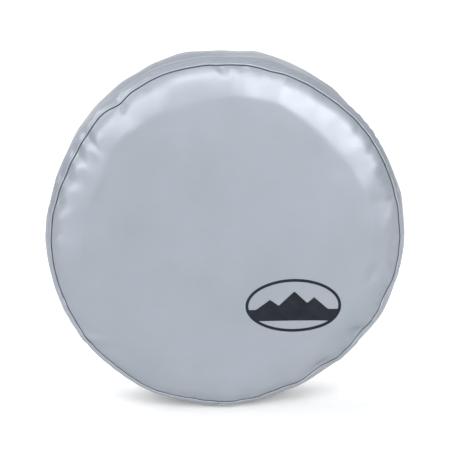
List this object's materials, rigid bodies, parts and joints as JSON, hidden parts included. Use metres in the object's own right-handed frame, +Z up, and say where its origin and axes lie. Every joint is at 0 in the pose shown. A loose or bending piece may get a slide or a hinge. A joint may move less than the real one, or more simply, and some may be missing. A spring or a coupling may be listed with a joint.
{
  "type": "spare tyre cover",
  "caption": "Round soft cover pulled over a spare wheel: printed front panel, side band and a gathered rear lip closed by an elastic mouth.",
  "frame": {"origin": "centre of the wheel inside the cover, on its axis, halfway between the tyre's two sidewalls", "axes": "+Z up as the wheel stands; Y along the wheel's axis, the printed front faces -Y and the mouth opens to +Y; +X to the right when the front is looked at"},
  "size_m": [0.5992, 0.1806, 0.6021],
  "materials": {
    "silver_vinyl": "silver-grey PVC leathercloth, fine grain, soft satin sheen, fabric backing",
    "woven_tape": "black woven binding tape",
    "grey_thread": "twisted grey polyester thread",
    "black_elastic": "braided black shock cord",
    "zinc_plate": "zinc-plated crimped sleeve",
    "dark_ink": "screen-printed dark ink film"
  },
  "bodies": {
    "cover": {"front_panel": "silver_vinyl", "side_band": "silver_vinyl", "rear_lip": "silver_vinyl", "seam_binding": "woven_tape", "front_seam_needle_thread": "grey_thread", "front_seam_bobbin_thread": "grey_thread", "binding_needle_thread": "grey_thread", "binding_bobbin_thread": "grey_thread", "lap_left_needle_thread": "grey_thread", "lap_left_bobbin_thread": "grey_thread", "lap_right_needle_thread": "grey_thread", "lap_right_bobbin_thread": "grey_thread", "emblem_print": "dark_ink"},
    "mouth_ring": {"hem_binding": "silver_vinyl", "elastic_cord": "black_elastic", "elastic_clamp": "zinc_plate", "hem_needle_thread": "grey_thread", "hem_bobbin_thread": "grey_thread"}
  },
  "joints": [
    {"name": "mouth_pull", "type": "slide", "parent": "cover", "child": "mouth_ring", "axis": [0, 1, 0], "range_m": [0, 0.05], "stiffness_N_per_m": 150, "deforming": ["rear_lip"]}
  ]
}
